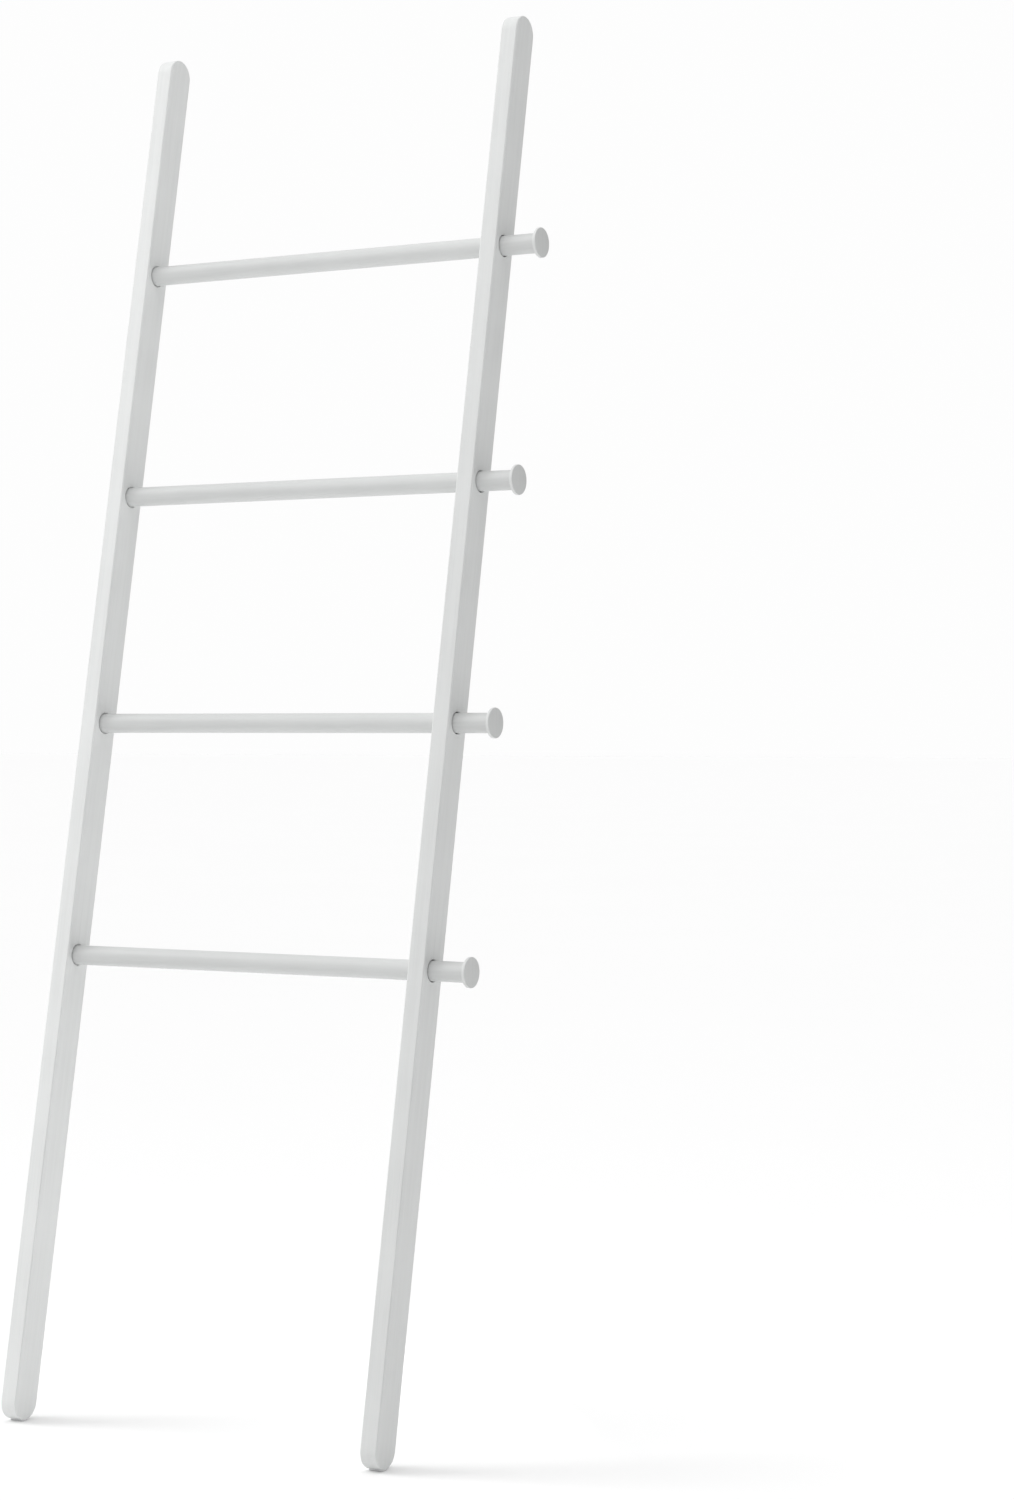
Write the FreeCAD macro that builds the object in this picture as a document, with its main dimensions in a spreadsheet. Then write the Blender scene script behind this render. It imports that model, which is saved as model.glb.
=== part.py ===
import FreeCAD, Part
import math
import os

import Sketcher

# A leaning ladder for hanging towels and blankets, in millimetres.
#
# It stands as it is used: +X runs along the rungs, towards the pegs; +Y runs back, towards the wall;
# +Z is up. The feet rest on the plane Z = 0, below the centre of the ladder's bounding box.
#
# The left rail holds the four rungs, each by a bolt into a threaded insert. The rungs pass through
# holes in the right rail, which slides along them, and their free ends are pegs with flat discs.

SIZES = [
    # the ladder as a whole
    ("outer_width", 556.0, "across the two rails"),
    ("lean_angle", 11.0, "degrees from upright"),
    ("rung_count", 4.0, "rungs, numbered from the top"),
    ("rung_spacing", 304.5, "between rung centres, along the rails"),
    ("lowest_rung", 590.0, "bottom end of a rail to the lowest rung's centre"),
    # rails
    ("rail_length", 1807.0, "round end to round end"),
    ("rail_width", 23.0, "along the rungs"),
    ("rail_depth", 44.0, "front to back"),
    ("rail_edge_round", 1.8, "radius of the long arrises"),
    ("foot_flat_cut", 1.0, "how deep the level foot is cut into the round end"),
    ("socket_depth", 14.0, "blind hole in the left rail"),
    ("socket_fit", 0.05, "radial play of a rung in its socket"),
    ("mouth_depth", 2.5, "wider mouth of each hole"),
    ("mouth_gap", 1.3, "open ring around a rung at a mouth"),
    ("mouth_round", 0.6, "radius of the mouths' rims"),
    # rungs and pegs
    ("rung_diameter", 25.0, "dowel"),
    ("rung_end_chamfer", 0.8, "at the left end"),
    ("peg_reach", 54.0, "right rail to the disc's outer face"),
    ("disc_diameter", 37.6, "peg disc"),
    ("disc_thickness", 4.0, "peg disc"),
    ("disc_rim_round", 0.8, "radius of the disc's rim"),
    ("tenon_diameter", 12.0, "rung end glued into the disc"),
    ("tenon_length", 2.4, "rung end glued into the disc"),
    ("tenon_end_gap", 0.1, "glue space at the tenon's end"),
    # sleeves in the right rail
    ("glide_fit", 0.05, "radial play of a rung in a glide"),
    ("glide_chamfer", 0.4, "at both ends of the bore"),
    # bolts and inserts
    ("bolt_diameter", 6.0, "shank"),
    ("bolt_length", 20.0, "under the head"),
    ("bolt_hole_fit", 0.25, "radial play in the rail"),
    ("bolt_thread_fit", 0.05, "radial play in the insert"),
    ("head_diameter", 15.0, "flat head"),
    ("head_height", 2.2, "flat head"),
    ("head_edge_round", 0.7, "radius of the head's outer edge"),
    ("head_play", 0.5, "radial play in the counterbore"),
    ("head_recess", 0.4, "head below the rail's face"),
    ("hex_size", 4.0, "across the flats of the key socket"),
    ("hex_depth", 3.0, "key socket"),
    ("insert_diameter", 10.0, "threaded insert"),
    ("insert_length", 14.0, "threaded insert"),
    ("insert_bore_depth", 16.0, "bore for it in the rung's end"),
    # pads
    ("foot_pad_width", 20.0, "along X"),
    ("foot_pad_depth", 12.0, "along Y"),
    ("foot_pad_height", 2.2, "under the rail"),
    ("wall_pad_width", 17.0, "along X"),
    ("wall_pad_length", 40.0, "along the rail"),
    ("wall_pad_height", 1.2, "behind the rail"),
    ("wall_pad_drop", 1.0, "below the start of the rail's round top"),
    ("pad_corner_round", 3.0, "radius of the pads' corners"),
]

doc = FreeCAD.newDocument("leaning_ladder")
sheet = doc.addObject("Spreadsheet::Sheet", "sizes")


class Size:
    """A length with the spreadsheet expression that gives it."""

    def __init__(self, value, text):
        self.value = value
        self.text = text

    def join(self, sign, other, value):
        other_text = other.text if isinstance(other, Size) else repr(other)
        return Size(value, f"({self.text} {sign} {other_text})")

    def __add__(self, other):
        return self.join("+", other, self.value + plain(other))

    def __sub__(self, other):
        return self.join("-", other, self.value - plain(other))

    def __mul__(self, other):
        return self.join("*", other, self.value * plain(other))

    def __truediv__(self, other):
        return self.join("/", other, self.value / plain(other))

    def __neg__(self):
        return Size(-self.value, f"(0 - {self.text})")


def plain(size):
    """The number behind a Size, or the number itself."""
    return size.value if isinstance(size, Size) else size


class Sizes:
    """Every spreadsheet alias as an attribute."""


def fill_sheet():
    """Write the driving dimensions into the spreadsheet and return them as Sizes."""
    sizes = Sizes()
    for row, (alias, value, note) in enumerate(SIZES, start=1):
        sheet.set(f"A{row}", alias)
        sheet.set(f"B{row}", str(value))
        sheet.set(f"C{row}", note)
        sheet.setAlias(f"B{row}", alias)
        setattr(sizes, alias, Size(value, f"sizes.{alias}"))
    doc.recompute()
    return sizes


size = fill_sheet()

# Sizes worked out from the driving ones.
lean = math.radians(size.lean_angle.value)
end_radius = size.rail_depth / 2
rung_radius = size.rung_diameter / 2
mouth_radius = rung_radius + size.mouth_gap
glide_length = size.rail_width - size.mouth_depth * 2
rung_length = (
    size.outer_width - size.rail_width + size.socket_depth + size.peg_reach - size.disc_thickness
)
tenon_radius = size.tenon_diameter / 2
head_radius = size.head_diameter / 2
bolt_radius = size.bolt_diameter / 2
insert_radius = size.insert_diameter / 2
rung_numbers = range(1, int(size.rung_count.value) + 1)


# ---------------------------------------------------------------- where things are

def lean_back():
    """The ladder's own frame: x from the middle, y back from the front, z along the rails."""
    sine = math.sin(lean)
    cosine = math.cos(lean)
    radius = end_radius.value
    top_of_wall_pad = size.rail_length.value - radius - size.wall_pad_drop.value
    front = radius * (cosine + sine - 1)
    back = (size.rail_depth + size.wall_pad_height).value * cosine + top_of_wall_pad * sine
    floor = radius * (cosine - sine - 1) + (size.foot_flat_cut - size.foot_pad_height).value
    origin = FreeCAD.Vector(-size.peg_reach.value / 2, -(front + back) / 2, -floor)
    turn = FreeCAD.Rotation(FreeCAD.Vector(1, 0, 0), -size.lean_angle.value)
    return FreeCAD.Placement(origin, turn)


ladder = lean_back()
left_outer_face = -(size.outer_width / 2).value
left_inner_face = left_outer_face + size.rail_width.value
right_outer_face = -left_outer_face
right_inner_face = -left_inner_face


def on_ladder(across, back, along):
    """The placement of a piece whose own origin is at this point of the ladder's frame."""
    step = FreeCAD.Placement(FreeCAD.Vector(across, back, along), FreeCAD.Rotation())
    return ladder.multiply(step)


def rung_height(number):
    """Distance of a rung's centre from the rails' bottom ends, along the rails."""
    steps_up = size.rung_count.value - number
    return size.lowest_rung.value + steps_up * size.rung_spacing.value


def on_rung(number, across):
    """The placement of a round piece on a rung's axis."""
    return on_ladder(across, end_radius.value, rung_height(number))


# ---------------------------------------------------------------- modelling helpers

def new_body(label):
    body = doc.addObject("PartDesign::Body", label)
    body.Label = label
    return body


def bind(thing, path, length):
    """Bind a property or a sketch constraint to the spreadsheet."""
    thing.setExpression(path, length.text)


def origin_plane(body, role):
    return next(plane for plane in body.Origin.OriginFeatures if plane.Role == role)


def new_sketch(body, name, role, height=None):
    """A sketch on one of the body's origin planes, or parallel to it at a height."""
    sketch = body.newObject("Sketcher::SketchObject", name)
    sketch.AttachmentSupport = (origin_plane(body, role), [""])
    sketch.MapMode = "FlatFace"
    if height is not None:
        bind(sketch, "AttachmentOffset.Base.z", height)
    return sketch


def pin_point(sketch, edge, end, x, y, name):
    """Fix one point of a sketch edge at Sizes x and y from the sketch's origin."""
    for axis, kind, length in (("x", "DistanceX", x), ("y", "DistanceY", y)):
        row = sketch.addConstraint(Sketcher.Constraint(kind, -1, 1, edge, end, plain(length)))
        sketch.renameConstraint(row, f"{name}_{axis}")
        if isinstance(length, Size):
            bind(sketch, f"Constraints.{name}_{axis}", length)


def draw_polygon(sketch, corners):
    """A closed outline of straight lines with every corner bound to the spreadsheet."""
    vectors = [FreeCAD.Vector(plain(x), plain(y), 0) for x, y in corners]
    count = len(corners)
    for index, start in enumerate(vectors):
        sketch.addGeometry(Part.LineSegment(start, vectors[(index + 1) % count]), False)
    for index, (x, y) in enumerate(corners):
        sketch.addConstraint(Sketcher.Constraint("Coincident", index, 2, (index + 1) % count, 1))
        pin_point(sketch, index, 1, x, y, f"corner{index}")


def draw_circles(sketch, radius, x, heights):
    """A column of equal circles at distance x, one at each height."""
    normal = FreeCAD.Vector(0, 0, 1)
    for index, y in enumerate(heights):
        centre = FreeCAD.Vector(x.value, y.value, 0)
        sketch.addGeometry(Part.Circle(centre, normal, radius.value), False)
        pin_point(sketch, index, 3, x, y, f"hole{index}")
        row = sketch.addConstraint(Sketcher.Constraint("Radius", index, radius.value))
        sketch.renameConstraint(row, f"radius{index}")
        bind(sketch, f"Constraints.radius{index}", radius)


def turn_on_lathe(body, corners):
    """A solid turned about the X axis from a half outline of (along X, radius) corners."""
    sketch = new_sketch(body, "TurnedOutline", "XY_Plane")
    draw_polygon(sketch, corners)
    turned = body.newObject("PartDesign::Revolution", "Turned")
    turned.Profile = sketch
    turned.ReferenceAxis = (sketch, ["H_Axis"])
    turned.Angle = 360.0
    return turned


def dress_edges(body, kind, prefix, base, is_wanted, length):
    """Fillet or chamfer the edges of a feature that a test picks out."""
    doc.recompute()
    names = [
        f"Edge{index}" for index, edge in enumerate(base.Shape.Edges, start=1) if is_wanted(edge)
    ]
    if not names:
        raise RuntimeError(f"{body.Label}: no edge found for {prefix}")
    dressed = body.newObject(kind, prefix)
    dressed.Base = (base, names)
    bind(dressed, "Radius" if kind.endswith("Fillet") else "Size", length)
    return dressed


def is_circle(edge, radius):
    curve = edge.Curve
    return isinstance(curve, Part.Circle) and math.isclose(curve.Radius, radius.value, abs_tol=1e-6)


def lies_across_x(edge):
    """True for an edge that lies in one plane of constant X."""
    return edge.BoundBox.XLength < 1e-6


# ---------------------------------------------------------------- rails

def draw_rail_side(sketch):
    """The rail's side: straight front and back with a half circle at each end."""
    radius = end_radius.value
    length = size.rail_length.value
    normal = FreeCAD.Vector(0, 0, 1)
    bottom_centre = FreeCAD.Vector(radius, radius, 0)
    top_centre = FreeCAD.Vector(radius, length - radius, 0)
    front_bottom = FreeCAD.Vector(0, radius, 0)
    front_top = FreeCAD.Vector(0, length - radius, 0)
    back_bottom = FreeCAD.Vector(2 * radius, radius, 0)
    back_top = FreeCAD.Vector(2 * radius, length - radius, 0)
    back, top, front, bottom = range(4)
    start, end, centre = 1, 2, 3
    sketch.addGeometry(Part.LineSegment(back_bottom, back_top), False)
    sketch.addGeometry(Part.ArcOfCircle(Part.Circle(top_centre, normal, radius), 0, math.pi), False)
    sketch.addGeometry(Part.LineSegment(front_top, front_bottom), False)
    sketch.addGeometry(
        Part.ArcOfCircle(Part.Circle(bottom_centre, normal, radius), math.pi, 2 * math.pi), False
    )
    for edge, following in ((back, top), (top, front), (front, bottom), (bottom, back)):
        sketch.addConstraint(Sketcher.Constraint("Tangent", edge, end, following, start))
    sketch.addConstraint(Sketcher.Constraint("Vertical", front))
    sketch.addConstraint(Sketcher.Constraint("Vertical", back))
    row = sketch.addConstraint(Sketcher.Constraint("Radius", bottom, radius))
    sketch.renameConstraint(row, "end_radius")
    bind(sketch, "Constraints.end_radius", end_radius)
    pin_point(sketch, bottom, centre, end_radius, end_radius, "bottom_centre")
    row = sketch.addConstraint(Sketcher.Constraint("DistanceY", -1, 1, top, centre, length - radius))
    sketch.renameConstraint(row, "top_centre_y")
    bind(sketch, "Constraints.top_centre_y", size.rail_length - end_radius)


def cut_foot_flat(body):
    """Cut the round bottom end level with the floor when the ladder leans."""
    sketch = new_sketch(body, "FootFlat", "YZ_Plane")
    bind(sketch, "AttachmentOffset.Base.x", end_radius)
    bind(sketch, "AttachmentOffset.Base.y", end_radius)
    bind(sketch, "AttachmentOffset.Rotation.Angle", size.lean_angle)
    level = size.foot_flat_cut - end_radius
    below = -size.rail_depth
    draw_polygon(
        sketch,
        [(-end_radius, level), (-end_radius, below), (end_radius, below), (end_radius, level)],
    )
    flat = body.newObject("PartDesign::Pocket", "LevelFoot")
    flat.Profile = sketch
    flat.Type = "ThroughAll"
    flat.Midplane = True
    return flat


def cut_holes(body, name, radius, from_outside, depth):
    """A hole at every rung, from the face at X = 0 or from the face at X = rail_width."""
    height = None if from_outside else size.rail_width
    sketch = new_sketch(body, f"{name}Circles", "YZ_Plane", height)
    heights = [size.lowest_rung + size.rung_spacing * step for step in range(len(rung_numbers))]
    draw_circles(sketch, radius, end_radius, heights)
    holes = body.newObject("PartDesign::Pocket", name)
    holes.Profile = sketch
    holes.Reversed = from_outside
    holes.Type = "Length"
    bind(holes, "Length", depth)
    return holes


def make_rail(label, across):
    """The body shared by both rails: a rounded bar with a level foot, from X = 0 to rail_width."""
    body = new_body(label)
    side = new_sketch(body, "SideOutline", "YZ_Plane")
    draw_rail_side(side)
    bar = body.newObject("PartDesign::Pad", "Bar")
    bar.Profile = side
    bind(bar, "Length", size.rail_width)
    dress_edges(body, "PartDesign::Fillet", "SoftArrises", bar, lies_across_x, size.rail_edge_round)
    cut_foot_flat(body)
    body.Placement = on_ladder(across, 0, 0)
    return body


def round_mouths(body, base):
    """Soften the rims where rungs enter the rail."""
    def is_rim(edge):
        outer = edge.BoundBox.XMin < 1e-6 or edge.BoundBox.XMax > size.rail_width.value - 1e-6
        return is_circle(edge, mouth_radius) and outer

    dress_edges(body, "PartDesign::Fillet", "SoftMouths", base, is_rim, size.mouth_round)


def make_left_rail():
    """The fixed rail: blind sockets for the rungs and a counterbored bolt hole behind each."""
    body = make_rail("left_rail", left_outer_face)
    cut_holes(body, "Sockets", rung_radius + size.socket_fit, False, size.socket_depth)
    mouths = cut_holes(body, "SocketMouths", mouth_radius, False, size.mouth_depth)
    round_mouths(body, mouths)
    cut_holes(body, "BoltHoles", bolt_radius + size.bolt_hole_fit, True, size.rail_width)
    head_room = size.head_height + size.head_recess
    cut_holes(body, "Counterbores", head_radius + size.head_play, True, head_room)


def make_right_rail():
    """The sliding rail: each rung passes through a hole wide enough for its glide."""
    body = make_rail("right_rail", right_inner_face)
    holes = cut_holes(body, "RungHoles", mouth_radius, True, size.rail_width)
    round_mouths(body, holes)


# ---------------------------------------------------------------- rungs and pegs

def make_rung(number):
    """A dowel with a bore for its insert at the left and a tenon for its disc at the right."""
    body = new_body(f"rung_{number}")
    chamfer = size.rung_end_chamfer
    tenon_end = rung_length + size.tenon_length
    turn_on_lathe(body, [
        (size.insert_bore_depth, 0.0),
        (size.insert_bore_depth, insert_radius),
        (0.0, insert_radius),
        (0.0, rung_radius - chamfer),
        (chamfer, rung_radius),
        (rung_length, rung_radius),
        (rung_length, tenon_radius),
        (tenon_end, tenon_radius),
        (tenon_end, 0.0),
    ])
    body.Placement = on_rung(number, left_inner_face - size.socket_depth.value)


def make_peg_disc(number):
    """The flat disc that keeps towels on the peg, with a blind hole for the tenon."""
    body = new_body(f"peg_disc_{number}")
    disc_radius = size.disc_diameter / 2
    hole_depth = size.tenon_length + size.tenon_end_gap
    turned = turn_on_lathe(body, [
        (hole_depth, 0.0),
        (hole_depth, tenon_radius),
        (0.0, tenon_radius),
        (0.0, disc_radius),
        (size.disc_thickness, disc_radius),
        (size.disc_thickness, 0.0),
    ])

    def is_rim(edge):
        return is_circle(edge, disc_radius)

    dress_edges(body, "PartDesign::Fillet", "SoftRim", turned, is_rim, size.disc_rim_round)
    body.Placement = on_rung(number, right_outer_face + (size.peg_reach - size.disc_thickness).value)


def make_rung_glide(number):
    """The thin sleeve pressed into the right rail, which the rung slides in."""
    body = new_body(f"rung_glide_{number}")
    bore_radius = rung_radius + size.glide_fit
    chamfer = size.glide_chamfer
    turn_on_lathe(body, [
        (0.0, bore_radius + chamfer),
        (0.0, mouth_radius),
        (glide_length, mouth_radius),
        (glide_length, bore_radius + chamfer),
        (glide_length - chamfer, bore_radius),
        (chamfer, bore_radius),
    ])
    body.Placement = on_rung(number, right_inner_face + size.mouth_depth.value)


# ---------------------------------------------------------------- bolts and inserts

def make_group(label, pieces):
    """One sub-part that holds identical separate pieces."""
    group = doc.addObject("Part::Compound", label)
    group.Label = label
    group.Links = pieces


def make_bolt(number):
    """A flat-headed bolt with a hexagon socket, in the left rail's outer face."""
    body = new_body(f"bolt_{number}")
    bolt_end = size.head_height + size.bolt_length
    turned = turn_on_lathe(body, [
        (0.0, 0.0),
        (0.0, head_radius),
        (size.head_height, head_radius),
        (size.head_height, bolt_radius),
        (bolt_end, bolt_radius),
        (bolt_end, 0.0),
    ])

    def is_outer_edge(edge):
        return is_circle(edge, head_radius) and edge.BoundBox.XMin < 1e-6

    dress_edges(
        body, "PartDesign::Fillet", "HeadEdge", turned, is_outer_edge, size.head_edge_round
    )
    socket = body.newObject("PartDesign::SubtractivePrism", "KeySocket")
    socket.Polygon = 6
    socket.AttachmentSupport = (origin_plane(body, "YZ_Plane"), [""])
    socket.MapMode = "FlatFace"
    bind(socket, "Circumradius", size.hex_size / math.sqrt(3))
    bind(socket, "Height", size.hex_depth)
    body.Placement = on_rung(number, left_outer_face + size.head_recess.value)
    return body


def make_insert(number):
    """A threaded insert glued into the left end of a rung."""
    body = new_body(f"insert_{number}")
    thread_radius = bolt_radius + size.bolt_thread_fit
    turn_on_lathe(body, [
        (0.0, thread_radius),
        (0.0, insert_radius),
        (size.insert_length, insert_radius),
        (size.insert_length, thread_radius),
    ])
    body.Placement = on_rung(number, left_inner_face - size.socket_depth.value)
    return body


# ---------------------------------------------------------------- pads

def make_pad(label, width, depth, height, is_corner):
    """A flat rubber pad with rounded corners."""
    body = new_body(label)
    slab = body.newObject("PartDesign::AdditiveBox", "Slab")
    bind(slab, "Length", width)
    bind(slab, "Width", depth)
    bind(slab, "Height", height)
    dress_edges(body, "PartDesign::Fillet", "RoundCorners", slab, is_corner, size.pad_corner_round)
    return body


def runs_along(edge, axis):
    """True for a straight edge parallel to an axis."""
    return math.isclose(abs(edge.tangentAt(edge.FirstParameter).dot(axis)), 1.0, abs_tol=1e-6)


def make_foot_pad(label, rail_middle):
    """The pad under a rail's level foot, flat on the floor."""
    upright = FreeCAD.Vector(0, 0, 1)
    body = make_pad(
        label, size.foot_pad_width, size.foot_pad_depth, size.foot_pad_height,
        lambda edge: runs_along(edge, upright),
    )
    centre = ladder.multVec(FreeCAD.Vector(rail_middle, end_radius.value, end_radius.value))
    corner = FreeCAD.Vector(
        centre.x - size.foot_pad_width.value / 2, centre.y - size.foot_pad_depth.value / 2, 0
    )
    body.Placement = FreeCAD.Placement(corner, FreeCAD.Rotation())


def make_wall_pad(label, rail_middle):
    """The pad behind a rail's top, which touches the wall."""
    backwards = FreeCAD.Vector(0, 1, 0)
    body = make_pad(
        label, size.wall_pad_width, size.wall_pad_height, size.wall_pad_length,
        lambda edge: runs_along(edge, backwards),
    )
    start = size.rail_length - end_radius - size.wall_pad_drop - size.wall_pad_length
    body.Placement = on_ladder(
        rail_middle - size.wall_pad_width.value / 2, size.rail_depth.value, start.value
    )


# ---------------------------------------------------------------- assembly

def build():
    make_left_rail()
    make_right_rail()
    for number in rung_numbers:
        make_rung(number)
        make_peg_disc(number)
        make_rung_glide(number)
    make_group("connector_bolts", [make_bolt(number) for number in rung_numbers])
    make_group("rung_inserts", [make_insert(number) for number in rung_numbers])
    left_middle = (left_outer_face + left_inner_face) / 2
    right_middle = (right_outer_face + right_inner_face) / 2
    for side, middle in (("left", left_middle), ("right", right_middle)):
        make_foot_pad(f"{side}_foot_pad", middle)
        make_wall_pad(f"{side}_wall_pad", middle)
    doc.recompute()


def find_sub_parts():
    """The bodies and groups that are sub-parts, without the pieces that a group holds."""
    grouped = [piece for item in doc.Objects if item.isDerivedFrom("Part::Compound")
               for piece in item.Links]
    kinds = ("PartDesign::Body", "Part::Compound")
    return [item for item in doc.Objects if item.TypeId in kinds and item not in grouped]


def check_document(sub_parts):
    """Stop if a feature failed or a sub-part has no sound solid."""
    for item in doc.Objects:
        if "Invalid" in item.State or "Error" in item.State:
            raise RuntimeError(f"{item.Label} ({item.Name}) is {item.State}")
    for item in sub_parts:
        if item.Shape.isNull() or not item.Shape.isValid() or not item.Shape.Solids:
            raise RuntimeError(f"{item.Label} has no valid solid")


def write_parts(sub_parts):
    os.makedirs("parts", exist_ok=True)
    for item in sub_parts:
        item.Shape.exportStep(f"parts/{item.Label}.step")
        volume = item.Shape.Volume
        box = item.Shape.BoundBox
        print(f"{item.Label:18s} {len(item.Shape.Solids)} solid(s) {volume:12.1f} mm3  "
              f"x {box.XMin:8.2f} {box.XMax:8.2f}  y {box.YMin:8.2f} {box.YMax:8.2f}  "
              f"z {box.ZMin:8.2f} {box.ZMax:8.2f}")


build()
parts = find_sub_parts()
check_document(parts)
write_parts(parts)
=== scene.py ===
import math
from collections import namedtuple

import bpy
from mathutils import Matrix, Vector


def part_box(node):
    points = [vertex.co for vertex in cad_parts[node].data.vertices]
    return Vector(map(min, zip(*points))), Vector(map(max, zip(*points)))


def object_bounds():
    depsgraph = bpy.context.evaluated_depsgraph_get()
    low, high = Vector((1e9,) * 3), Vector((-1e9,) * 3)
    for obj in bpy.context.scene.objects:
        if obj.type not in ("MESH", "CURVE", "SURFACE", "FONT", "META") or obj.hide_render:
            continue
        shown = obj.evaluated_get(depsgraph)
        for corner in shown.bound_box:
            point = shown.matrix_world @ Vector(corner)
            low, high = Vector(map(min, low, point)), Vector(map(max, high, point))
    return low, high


# ---------------------------------------------------------------- the frame

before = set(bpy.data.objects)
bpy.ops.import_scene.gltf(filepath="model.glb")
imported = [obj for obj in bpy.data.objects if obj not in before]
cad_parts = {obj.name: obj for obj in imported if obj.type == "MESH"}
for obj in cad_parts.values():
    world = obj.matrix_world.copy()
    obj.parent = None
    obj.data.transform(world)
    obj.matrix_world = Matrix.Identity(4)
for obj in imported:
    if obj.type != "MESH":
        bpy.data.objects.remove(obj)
cad_low, cad_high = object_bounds()
node_names = sorted(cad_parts)

MM = 0.001
RAILS = ("left_rail", "right_rail")
RUNGS = [name for name in node_names if name.startswith("rung_") and name[len("rung_"):].isdigit()]
DISCS = [name for name in node_names if name.startswith("peg_disc_")]
GLIDES = [name for name in node_names if name.startswith("rung_glide_")]
FOOT_PADS = [name for name in node_names if name.endswith("_foot_pad")]
WALL_PADS = [name for name in node_names if name.endswith("_wall_pad")]


def middle(node):
    """The centre of a CAD node's box."""
    low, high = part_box(node)
    return (low + high) / 2


def size(node):
    """How far a CAD node's box reaches along each axis."""
    low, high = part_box(node)
    return high - low


# The rungs' axes lie on the ladder's middle line, so they give its lean.
top_rung = middle(RUNGS[0])
bottom_rung = middle(RUNGS[-1])
LEAN = math.atan2(top_rung.y - bottom_rung.y, top_rung.z - bottom_rung.z)

# Seen from the side, a rail is a strip with half-round ends.
RAIL_HALF_WIDTH = size("left_rail").x / 2
RAIL_HALF_DEPTH = 22 * MM
RAIL_HALF_LENGTH = (size("left_rail").z / 2 - RAIL_HALF_DEPTH) / math.cos(LEAN) + RAIL_HALF_DEPTH
DISC_RADIUS = size(DISCS[0]).z / 2

# ---------------------------------------------------------------- node tools

# Most of a noise's values lie between these.
NOISE_LOW = 0.3
NOISE_HIGH = 0.7

# The Mix node has a socket of each name for every data type; these are the colour ones.
MIX_FIRST_COLOUR = 6
MIX_SECOND_COLOUR = 7
MIX_COLOUR_RESULT = 2


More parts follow.
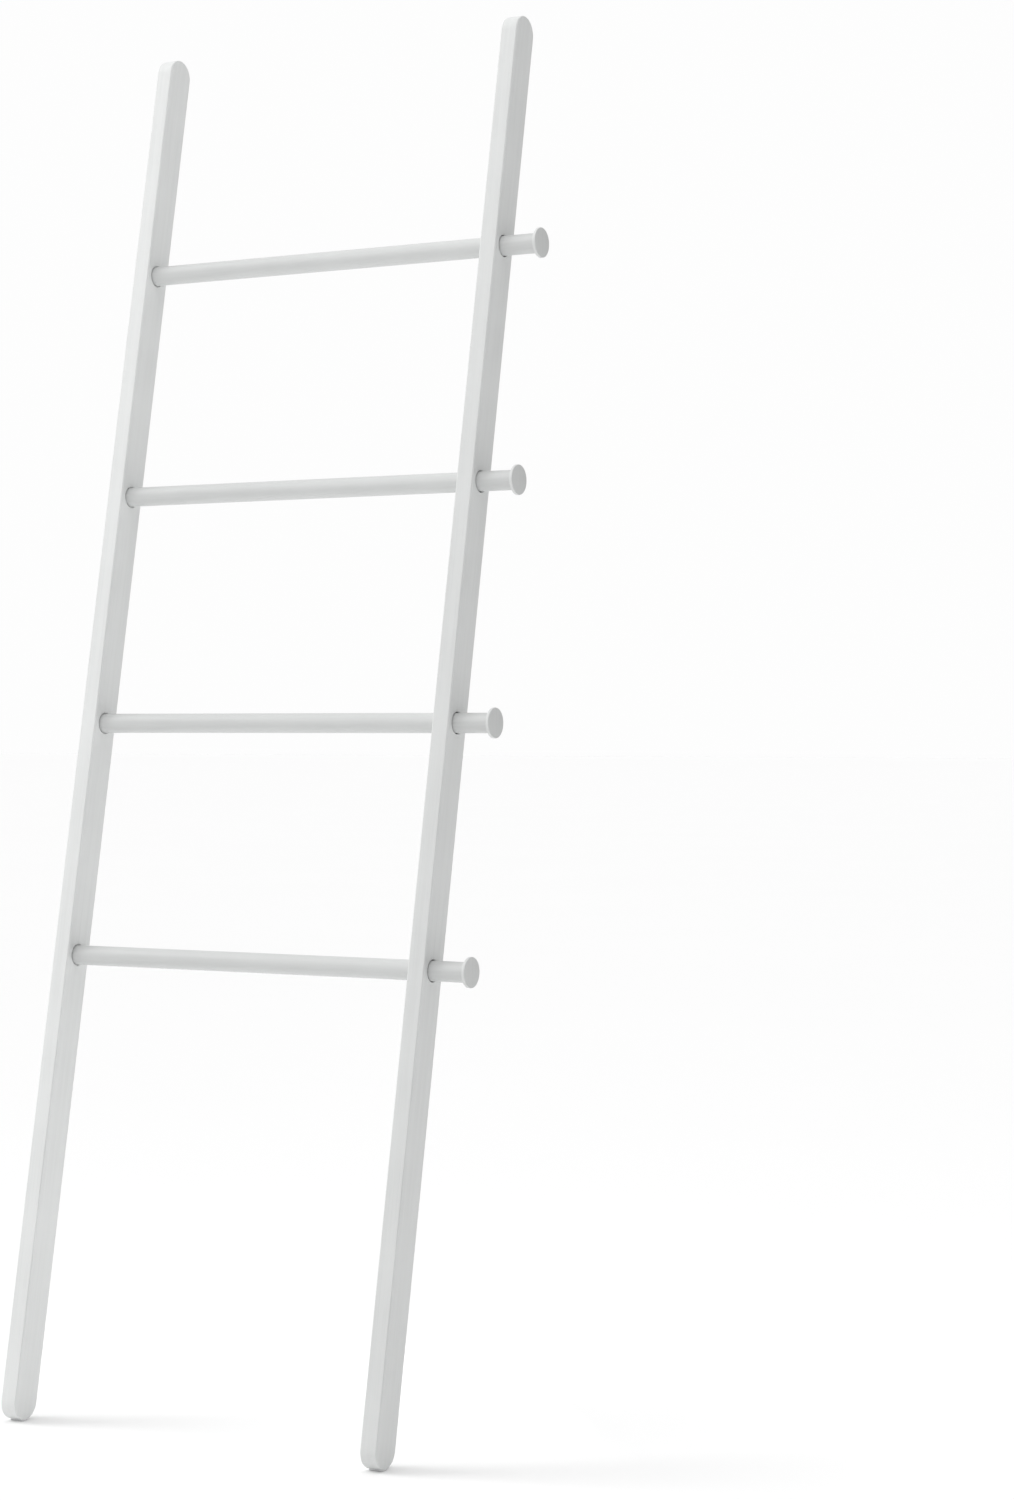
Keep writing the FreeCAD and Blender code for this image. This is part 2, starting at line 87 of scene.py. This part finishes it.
class Graph:
    """A material's node tree with one Principled shader, and short ways to add to it."""

    def __init__(self, name):
        self.material = bpy.data.materials.new(name)
        self.material.use_nodes = True
        self.tree = self.material.node_tree
        self.shader = next(node for node in self.tree.nodes if node.type == "BSDF_PRINCIPLED")
        self.place = self.add("ShaderNodeTexCoord").outputs["Object"]

    def add(self, kind, **settings):
        node = self.tree.nodes.new(kind)
        for name, value in settings.items():
            setattr(node, name, value)
        return node

    def join(self, source, socket):
        """Gives socket a value, or links it to the socket that source is."""
        if isinstance(source, (int, float, tuple)):
            socket.default_value = source
        else:
            self.tree.links.new(source, socket)

    def calc(self, operation, *values):
        """A Math node's result."""
        node = self.add("ShaderNodeMath", operation=operation)
        for value, socket in zip(values, node.inputs):
            self.join(value, socket)
        return node.outputs[0]

    def plus(self, first, second):
        return self.calc("ADD", first, second)

    def minus(self, first, second):
        return self.calc("SUBTRACT", first, second)

    def times(self, first, second):
        return self.calc("MULTIPLY", first, second)

    def distance(self, value):
        """How far value is from nought."""
        return self.calc("ABSOLUTE", value)

    def radius(self, first, second):
        """The length of the diagonal whose sides are first and second."""
        squares = self.plus(self.calc("POWER", first, 2.0), self.calc("POWER", second, 2.0))
        return self.calc("SQRT", squares)

    def turned(self, centre, lean=0.0):
        """Object coordinates measured from centre, with Z along a line that leans back by lean."""
        node = self.add("ShaderNodeMapping", vector_type="TEXTURE")
        self.join(self.place, node.inputs["Vector"])
        node.inputs["Location"].default_value = centre
        node.inputs["Rotation"].default_value = (-lean, 0, 0)
        return node.outputs[0]

    def stretched(self, vector, scale):
        """vector multiplied by scale, axis by axis: a pattern grows long on the axes with a small scale."""
        node = self.add("ShaderNodeMapping")
        self.join(vector, node.inputs["Vector"])
        node.inputs["Scale"].default_value = scale
        return node.outputs[0]

    def noise(self, vector, grain_size, detail=2.0, roughness=0.5, distortion=0.0):
        """Soft noise whose grains are grain_size metres across."""
        node = self.add("ShaderNodeTexNoise")
        self.join(vector, node.inputs["Vector"])
        node.inputs["Scale"].default_value = 1 / grain_size
        node.inputs["Detail"].default_value = detail
        node.inputs["Roughness"].default_value = roughness
        node.inputs["Distortion"].default_value = distortion
        return node.outputs["Fac"]

    def remap(self, value, low, high, to_low=0.0, to_high=1.0):
        """value taken smoothly from low..high to to_low..to_high, held at both ends."""
        node = self.add("ShaderNodeMapRange", interpolation_type="SMOOTHSTEP")
        self.join(value, node.inputs["Value"])
        self.join(low, node.inputs["From Min"])
        self.join(high, node.inputs["From Max"])
        self.join(to_low, node.inputs["To Min"])
        self.join(to_high, node.inputs["To Max"])
        return node.outputs[0]

    def spread(self, noise, to_low, to_high):
        """A noise's usual values taken to to_low..to_high."""
        return self.remap(noise, NOISE_LOW, NOISE_HIGH, to_low, to_high)

    def blend(self, factor, first, second):
        """The colour first where factor is 0, second where it is 1."""
        node = self.add("ShaderNodeMix", data_type="RGBA")
        self.join(factor, node.inputs["Factor"])
        self.join(first, node.inputs[MIX_FIRST_COLOUR])
        self.join(second, node.inputs[MIX_SECOND_COLOUR])
        return node.outputs[MIX_COLOUR_RESULT]

    def split(self, vector):
        node = self.add("ShaderNodeSeparateXYZ")
        self.join(vector, node.inputs[0])
        return node.outputs

    def bump(self, height, depth, strength):
        """A normal for relief that is depth metres deep."""
        node = self.add("ShaderNodeBump")
        self.join(height, node.inputs["Height"])
        node.inputs["Distance"].default_value = depth
        node.inputs["Strength"].default_value = strength
        return node.outputs[0]

    def finish(self, colour, roughness, normal):
        self.join(colour, self.shader.inputs["Base Color"])
        self.join(roughness, self.shader.inputs["Roughness"])
        self.join(normal, self.shader.inputs["Normal"])
        return self.material


def tone(red, green, blue):
    return (red, green, blue, 1.0)


def grey(level):
    return tone(level, level, level)


# ---------------------------------------------------------------- painted wood

# The paint's brightness on each kind of piece, with painted light and shade in it: the left rail is painted
# lighter than the right for the light's falloff from the left, the rungs and discs are painted darker as
# painted shade, and the disc rims are painted paler as a painted highlight.
RAIL_TONES_WITH_PAINTED_LIGHT = {"left_rail": 0.77, "right_rail": 0.695}
RUNG_TONE_PAINTED_SHADE = 0.633
DISC_TONE_PAINTED_SHADE = 0.590
RIM_HIGHLIGHT_TONE = 0.70
# How much darker the grain shows, how much lighter the patches are, and how much lighter the worn edges are,
# which also carry a painted highlight.
GRAIN_SHADE = 0.95
PATCH_SHADE = 1.03
WORN_AND_HIGHLIT_SHADE = 1.12

GRAIN_WIDTH = 1.3 * MM
BROAD_GRAIN_WIDTH = 5 * GRAIN_WIDTH
GRAIN_STRETCH = 0.02
STREAK_STARTS = 0.16
STREAK_ENDS = 0.34
STREAK_STRENGTH = 0.8
PATCH_SIZE = 120 * MM
PATCH_STARTS = 0.35
PATCH_STRENGTH = 0.7
STIPPLE_SIZE = 0.5 * MM

# The worn edges, partly worn paint and partly painted highlight: how strong, how wide, and where the grain
# breaks them.
EDGE_WEAR_AND_HIGHLIGHT = 0.65
EDGE_WEAR_AND_HIGHLIGHT_NARROW = 0.8 * MM
EDGE_WEAR_AND_HIGHLIGHT_WIDE = 2.2 * MM
WEAR_AND_HIGHLIGHT_BREAKS_FROM = 0.40
WEAR_AND_HIGHLIGHT_BREAKS_TO = 0.60

PAINT_ROUGHNESS = 0.52
PAINT_ROUGHNESS_CHANGE = 0.06
RUBBED_GLOSS = 0.12
PAINT_RELIEF = 0.08 * MM
PAINT_RELIEF_STRENGTH = 0.5
GRAIN_RELIEF_SHARE = 0.8

# How near to its rim a disc's painted highlight is at its palest, and how near it is when that has faded.
RIM_HIGHLIGHT_FULL_TO = 0.2 * MM
RIM_HIGHLIGHT_FADES_BY = 0.6 * MM

ALONG_X = 0
ALONG_Z = 2


def paint_tone(level):
    """The paint's faintly cool grey-white at a given brightness."""
    return tone(level * 0.993, level * 1.008, level * 1.001)


def painted_wood(graph, vector, edge, grain_axis, level, pale=None):
    """Matt paint over wood: faint grain along grain_axis, brushed patches, a fine stipple and worn edges
    painted lighter, partly as a painted highlight.

    edge is the distance from the piece's nearest edge, in metres; level is the paint's brightness, painted
    light and shade included, and pale says where a disc's rim gets its painted highlight."""
    stretch = tuple(GRAIN_STRETCH if axis == grain_axis else 1.0 for axis in range(3))
    along = graph.stretched(vector, stretch)
    grain = graph.noise(along, GRAIN_WIDTH, detail=3.0, roughness=0.6, distortion=0.25)
    broad_grain = graph.noise(along, BROAD_GRAIN_WIDTH)
    patches = graph.noise(vector, PATCH_SIZE)
    stipple = graph.noise(vector, STIPPLE_SIZE, detail=1.0)

    dark = graph.remap(graph.times(grain, broad_grain), STREAK_STARTS, STREAK_ENDS, STREAK_STRENGTH, 0.0)
    light = graph.remap(patches, PATCH_STARTS, NOISE_HIGH, 0.0, PATCH_STRENGTH)
    colour = graph.blend(dark, paint_tone(level), paint_tone(level * GRAIN_SHADE))
    colour = graph.blend(light, colour, paint_tone(level * PATCH_SHADE))

    # A disc's rim is painted paler here as a painted highlight.
    if pale:
        colour = graph.blend(pale, colour, paint_tone(RIM_HIGHLIGHT_TONE))

    # Edges are painted lighter: partly worn paint, partly a painted highlight along the arrises.
    wear_and_highlight_width = graph.spread(patches, EDGE_WEAR_AND_HIGHLIGHT_NARROW, EDGE_WEAR_AND_HIGHLIGHT_WIDE)
    worn_and_highlit = graph.remap(edge, 0.0, wear_and_highlight_width, EDGE_WEAR_AND_HIGHLIGHT, 0.0)
    worn_and_highlit = graph.times(worn_and_highlit, graph.remap(grain, WEAR_AND_HIGHLIGHT_BREAKS_FROM, WEAR_AND_HIGHLIGHT_BREAKS_TO))
    colour = graph.blend(worn_and_highlit, colour, paint_tone(level * WORN_AND_HIGHLIT_SHADE))

    smoothest = PAINT_ROUGHNESS - PAINT_ROUGHNESS_CHANGE
    roughest = PAINT_ROUGHNESS + PAINT_ROUGHNESS_CHANGE
    rough = graph.minus(graph.spread(patches, smoothest, roughest), graph.times(worn_and_highlit, RUBBED_GLOSS))
    relief = graph.plus(
        graph.times(grain, GRAIN_RELIEF_SHARE),
        graph.times(stipple, 1 - GRAIN_RELIEF_SHARE),
    )
    return graph.finish(colour, rough, graph.bump(relief, PAINT_RELIEF, PAINT_RELIEF_STRENGTH))


def rail_paint(name, node):
    """Paint for one rail: its edges follow the outline of a strip with round ends."""
    graph = Graph(name)
    vector = graph.turned(middle(node), LEAN)
    across, deep, along = graph.split(vector)
    straight = RAIL_HALF_LENGTH - RAIL_HALF_DEPTH
    past_end = graph.calc("MAXIMUM", graph.minus(graph.distance(along), straight), 0.0)
    outward = graph.radius(past_end, deep)
    from_outline = graph.distance(graph.minus(RAIL_HALF_DEPTH, outward))
    from_side = graph.minus(RAIL_HALF_WIDTH, graph.distance(across))
    # The rail's tone carries painted light: the left rail is painted lighter than the right for the light's
    # falloff from the left.
    return painted_wood(graph, vector, graph.plus(from_outline, from_side), ALONG_Z, RAIL_TONES_WITH_PAINTED_LIGHT[node])


def rung_paint(name, node):
    """Paint for one rung: the grain runs along X, and the edges are its two ends."""
    graph = Graph(name)
    vector = graph.turned(middle(node))
    across, _, _ = graph.split(vector)
    edge = graph.minus(size(node).x / 2, graph.distance(across))
    # The rungs' darker tone is painted shade.
    return painted_wood(graph, vector, edge, ALONG_X, RUNG_TONE_PAINTED_SHADE)


def disc_paint(name, node):
    """Paint for one disc: turned across the grain, with its rim as its edge and a painted highlight along
    its rim.
    """
    graph = Graph(name)
    vector = graph.turned(middle(node))
    across, deep, up = graph.split(vector)
    outward = graph.radius(deep, up)
    from_rim = graph.distance(graph.minus(DISC_RADIUS, outward))
    from_face = graph.distance(graph.minus(size(node).x / 2, graph.distance(across)))
    # The rim is painted paler as a painted highlight, and the disc's darker tone is painted shade.
    rim = graph.remap(from_rim, RIM_HIGHLIGHT_FULL_TO, RIM_HIGHLIGHT_FADES_BY, 1.0, 0.0)
    return painted_wood(graph, vector, graph.plus(from_rim, from_face), ALONG_Z, DISC_TONE_PAINTED_SHADE, rim)


# ---------------------------------------------------------------- small parts

NYLON_DARK = tone(0.085, 0.087, 0.090)
NYLON_LIGHT = tone(0.125, 0.127, 0.130)
NYLON_MOTTLE_SIZE = 4 * MM
NYLON_GRAIN_SIZE = 0.3 * MM

ZINC_DARK = tone(0.50, 0.50, 0.49)
ZINC_LIGHT = tone(0.66, 0.67, 0.66)
ZINC_SPANGLE_SIZE = 1.5 * MM
ZINC_HAIR_WIDTH = 0.15 * MM
# The hair scratches run along Y.
ZINC_HAIR_STRETCH = (1.0, 0.08, 1.0)

BRASS_DARK = tone(0.56, 0.40, 0.16)
BRASS_LIGHT = tone(0.72, 0.54, 0.25)
BRASS_STAIN_SIZE = 3 * MM
BRASS_RING_WIDTH = 0.2 * MM
# The turning marks are fine along X and long round it.
BRASS_RING_STRETCH = (1.0, 0.05, 0.05)

FOOT_RUBBER_TONE = 0.80
# The wall pads are painted dark as painted shade, for the shade where the rails meet the wall.
WALL_PAD_SHADE_TONE = 0.14
RUBBER_BLOOM_SIZE = 6 * MM
RUBBER_GRAIN_SIZE = 0.4 * MM
RUBBER_RIB_PITCH = 5 * MM
RUBBER_RIB_SHARE = 0.6
RUBBER_DARKER = 0.85
RUBBER_LIGHTER = 1.2
RUBBER_COOLNESS = 0.02
# Painted shade along the foot pads' bottom where they meet the floor: its tone, height and where it starts
# fading.
FLOOR_CONTACT_SHADE_TONE = 0.50
FLOOR_CONTACT_SHADE_HEIGHT = 0.4 * MM
FLOOR_CONTACT_SHADE_FADES_FROM = 0.7


def nylon(name):
    """Dark moulded nylon for the glides."""
    graph = Graph(name)
    mottle = graph.noise(graph.place, NYLON_MOTTLE_SIZE, detail=3.0)
    fine = graph.noise(graph.place, NYLON_GRAIN_SIZE, detail=1.0)
    colour = graph.blend(mottle, NYLON_DARK, NYLON_LIGHT)
    rough = graph.spread(mottle, 0.42, 0.55)
    return graph.finish(colour, rough, graph.bump(fine, depth=0.03 * MM, strength=0.5))


def zinc(name):
    """Zinc-plated steel for the bolts: a fine spangle under hair scratches."""
    graph = Graph(name)
    graph.shader.inputs["Metallic"].default_value = 1.0
    spangle = graph.noise(graph.place, ZINC_SPANGLE_SIZE, detail=3.0)
    hairs = graph.noise(graph.stretched(graph.place, ZINC_HAIR_STRETCH), ZINC_HAIR_WIDTH)
    colour = graph.blend(spangle, ZINC_DARK, ZINC_LIGHT)
    rough = graph.spread(hairs, 0.26, 0.44)
    return graph.finish(colour, rough, graph.bump(hairs, depth=0.01 * MM, strength=0.4))


def brass(name):
    """Plain turned brass for the inserts."""
    graph = Graph(name)
    graph.shader.inputs["Metallic"].default_value = 1.0
    stain = graph.noise(graph.place, BRASS_STAIN_SIZE, detail=3.0)
    rings = graph.noise(graph.stretched(graph.place, BRASS_RING_STRETCH), BRASS_RING_WIDTH, detail=1.0)
    colour = graph.blend(stain, BRASS_DARK, BRASS_LIGHT)
    rough = graph.spread(stain, 0.25, 0.42)
    return graph.finish(colour, rough, graph.bump(rings, depth=0.02 * MM, strength=0.5))


def rubber(name, level, stands_on_floor):
    """Rubber of a given brightness, with a ribbed face and a dusty bloom, and with painted shade along the
    bottom where it meets the floor.
    """
    graph = Graph(name)
    bloom = graph.noise(graph.place, RUBBER_BLOOM_SIZE, detail=3.0)
    fine = graph.noise(graph.place, RUBBER_GRAIN_SIZE)
    ribs = graph.add("ShaderNodeTexWave", wave_type="BANDS", bands_direction="X")
    graph.join(graph.place, ribs.inputs["Vector"])
    ribs.inputs["Scale"].default_value = 1 / RUBBER_RIB_PITCH
    relief = graph.plus(
        graph.times(ribs.outputs["Fac"], RUBBER_RIB_SHARE),
        graph.times(fine, 1 - RUBBER_RIB_SHARE),
    )
    darker = level * RUBBER_DARKER
    colour = graph.blend(
        bloom,
        tone(darker, darker, level * (RUBBER_DARKER + RUBBER_COOLNESS)),
        grey(level * RUBBER_LIGHTER),
    )
    # The bottom of a pad on the floor is painted darker as painted shade where it meets the floor.
    if stands_on_floor:
        _, _, height = graph.split(graph.place)
        fades_from = FLOOR_CONTACT_SHADE_HEIGHT * FLOOR_CONTACT_SHADE_FADES_FROM
        contact_shade = graph.remap(height, fades_from, FLOOR_CONTACT_SHADE_HEIGHT, 1.0, 0.0)
        colour = graph.blend(contact_shade, colour, grey(FLOOR_CONTACT_SHADE_TONE))
    rough = graph.spread(bloom, 0.72, 0.90)
    return graph.finish(colour, rough, graph.bump(relief, depth=0.15 * MM, strength=0.6))


def wear_finish(node, material):
    """Gives a CAD node its finish, in every one of its material slots."""
    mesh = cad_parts[node].data
    if not mesh.materials:
        mesh.materials.append(material)
    for index in range(len(mesh.materials)):
        mesh.materials[index] = material


def finish_parts():
    for nodes, paint in ((RAILS, rail_paint), (RUNGS, rung_paint), (DISCS, disc_paint)):
        for node in nodes:
            wear_finish(node, paint(f"{node}_paint", node))
    shared_finishes = (
        (GLIDES, nylon("glide_nylon")),
        (FOOT_PADS, rubber("foot_rubber", FOOT_RUBBER_TONE, stands_on_floor=True)),
        # The wall pads' dark tone is painted shade for where the rails meet the wall.
        (WALL_PADS, rubber("wall_pad_painted_shade", WALL_PAD_SHADE_TONE, stands_on_floor=False)),
        (["connector_bolts"], zinc("bolt_zinc")),
        (["rung_inserts"], brass("insert_brass")),
    )
    for nodes, material in shared_finishes:
        for node in nodes:
            wear_finish(node, material)


# ---------------------------------------------------------------- studio

WHITE = grey(1.0)
FLOOR_HALF = 80.0
FLOOR_TONE = grey(0.965)
FLOOR_TONE_WORN = grey(0.975)
FLOOR_CLOUD_SIZE = 1.25
FLOOR_ROUGHNESS = 0.9
FLOOR_SPECULAR = 0.1

# How bright the camera sees the backdrop, and how bright the surroundings light the object at most.
BACKDROP = 0.985
SURROUND = 1.40

# Along an axis of the direction looked in, the surroundings lose amount of brightness from start to end.
Loss = namedtuple("Loss", "axis start end amount")
SURROUND_LOSSES = (
    Loss("X", start=-0.25, end=0.8, amount=0.72),
    Loss("X", start=-0.2, end=-1.0, amount=0.70),
    Loss("Y", start=0.0, end=-0.9, amount=0.60),
    Loss("Y", start=0.1, end=1.0, amount=0.60),
)

SUN_STRENGTH = 1.19
SUN_SPREAD = math.radians(30)
SUN_DIRECTION = Vector((0.80, 0.25, -0.55))


def make_floor():
    """A wide pale floor, level with the feet."""
    far = FLOOR_HALF
    corners = [(-far, -far, 0), (far, -far, 0), (far, far, 0), (-far, far, 0)]
    mesh = bpy.data.meshes.new("studio_floor")
    mesh.from_pydata(corners, [], [(0, 1, 2, 3)])
    floor = bpy.data.objects.new("studio_floor", mesh)
    bpy.context.scene.collection.objects.link(floor)
    floor.location.z = cad_low.z
    graph = Graph("studio_floor")
    cloudy = graph.noise(graph.place, FLOOR_CLOUD_SIZE)
    graph.join(graph.blend(cloudy, FLOOR_TONE, FLOOR_TONE_WORN), graph.shader.inputs["Base Color"])
    graph.shader.inputs["Roughness"].default_value = FLOOR_ROUGHNESS
    graph.shader.inputs["Specular IOR Level"].default_value = FLOOR_SPECULAR
    mesh.materials.append(graph.material)


def dimmed(tree, axes, level, loss):
    """level, less what the surroundings lose along one axis."""
    ramp = tree.nodes.new("ShaderNodeMapRange")
    ramp.interpolation_type = "SMOOTHSTEP"
    tree.links.new(axes.outputs[loss.axis], ramp.inputs["Value"])
    ramp.inputs["From Min"].default_value = loss.start
    ramp.inputs["From Max"].default_value = loss.end
    ramp.inputs["To Min"].default_value = 0.0
    ramp.inputs["To Max"].default_value = loss.amount
    rest = tree.nodes.new("ShaderNodeMath")
    rest.operation = "SUBTRACT"
    if isinstance(level, float):
        rest.inputs[0].default_value = level
    else:
        tree.links.new(level, rest.inputs[0])
    tree.links.new(ramp.outputs[0], rest.inputs[1])
    return rest.outputs[0]


def make_world():
    """A plain white backdrop, and surroundings that light the object mostly from overhead."""
    world = bpy.data.worlds.new("studio")
    bpy.context.scene.world = world
    world.use_nodes = True
    tree = world.node_tree
    axes = tree.nodes.new("ShaderNodeSeparateXYZ")
    tree.links.new(tree.nodes.new("ShaderNodeTexCoord").outputs["Generated"], axes.inputs[0])
    level = SURROUND
    for loss in SURROUND_LOSSES:
        level = dimmed(tree, axes, level, loss)

    surround = next(node for node in tree.nodes if node.type == "BACKGROUND")
    surround.inputs["Color"].default_value = WHITE
    tree.links.new(level, surround.inputs["Strength"])
    backdrop = tree.nodes.new("ShaderNodeBackground")
    backdrop.inputs["Color"].default_value = WHITE
    backdrop.inputs["Strength"].default_value = BACKDROP

    choice = tree.nodes.new("ShaderNodeMixShader")
    seen = tree.nodes.new("ShaderNodeLightPath").outputs["Is Camera Ray"]
    tree.links.new(seen, choice.inputs[0])
    tree.links.new(surround.outputs[0], choice.inputs[1])
    tree.links.new(backdrop.outputs[0], choice.inputs[2])
    output = next(node for node in tree.nodes if node.type == "OUTPUT_WORLD")
    tree.links.new(choice.outputs[0], output.inputs["Surface"])


def add_light(name, kind, power):
    data = bpy.data.lights.new(name, kind)
    data.energy = power
    light = bpy.data.objects.new(name, data)
    bpy.context.scene.collection.objects.link(light)
    return light


def face(light, direction):
    light.rotation_euler = direction.to_track_quat("-Z", "Y").to_euler()


def add_panel(name, place, aim, width, height, power):
    """A soft rectangular light at place, facing aim and itself unseen."""
    panel = add_light(name, "AREA", power)
    panel.data.shape = "RECTANGLE"
    panel.data.size = width
    panel.data.size_y = height
    panel.location = place
    panel.visible_camera = False
    face(panel, Vector(aim) - Vector(place))


def make_lights():
    """The key is a broad soft sun from the left; the panels lift the left rail, tops, pegs and feet."""
    sun = add_light("key", "SUN", SUN_STRENGTH)
    sun.data.angle = SUN_SPREAD
    face(sun, SUN_DIRECTION)
    left = cad_low.x
    top = cad_high.z
    half_way = top / 2
    add_panel(
        "left_panel", place=(left - 1.4, -1.2, half_way), aim=(left, 0, half_way),
        width=1.0, height=1.8, power=1.5,
    )
    add_panel(
        "top_panel", place=(left - 0.6, -1.6, top + 0.5), aim=(0, 0.1, top - 0.28),
        width=1.2, height=1.0, power=2.7,
    )
    add_panel(
        "overhead_panel", place=(0.5, -0.4, 2.5), aim=(0.28, 0.05, 1.3),
        width=0.7, height=0.7, power=2.0,
    )
    add_panel(
        "left_foot_panel", place=(0.15, 0.35, 0.16), aim=(left, -0.15, 0.15),
        width=0.4, height=0.3, power=0.33,
    )
    add_panel(
        "right_foot_panel", place=(1.2, 0.3, 0.16), aim=(0.25, -0.15, 0.15),
        width=0.8, height=0.3, power=0.64,
    )


# The photographer's place, from the middle of the ladder's footprint.
CAMERA_BEARING = math.radians(33.538)
CAMERA_DISTANCE = 3.8765
CAMERA_HEIGHT = 0.8739
CAMERA_HEADING = math.radians(29.425)
CAMERA_PITCH = math.radians(-0.416)
CAMERA_LENS = 73.54
CAMERA_SENSOR = 36.0


def make_camera():
    data = bpy.data.cameras.new("camera")
    data.lens = CAMERA_LENS
    data.sensor_width = CAMERA_SENSOR
    camera = bpy.data.objects.new("camera", data)
    bpy.context.scene.collection.objects.link(camera)
    centre = (cad_low + cad_high) / 2
    camera.location = (
        centre.x + CAMERA_DISTANCE * math.sin(CAMERA_BEARING),
        centre.y - CAMERA_DISTANCE * math.cos(CAMERA_BEARING),
        CAMERA_HEIGHT,
    )
    camera.rotation_euler = (math.pi / 2 + CAMERA_PITCH, 0, CAMERA_HEADING)
    bpy.context.scene.camera = camera


finish_parts()
make_floor()
make_world()
make_lights()
make_camera()
bpy.context.scene.view_settings.view_transform = "Standard"
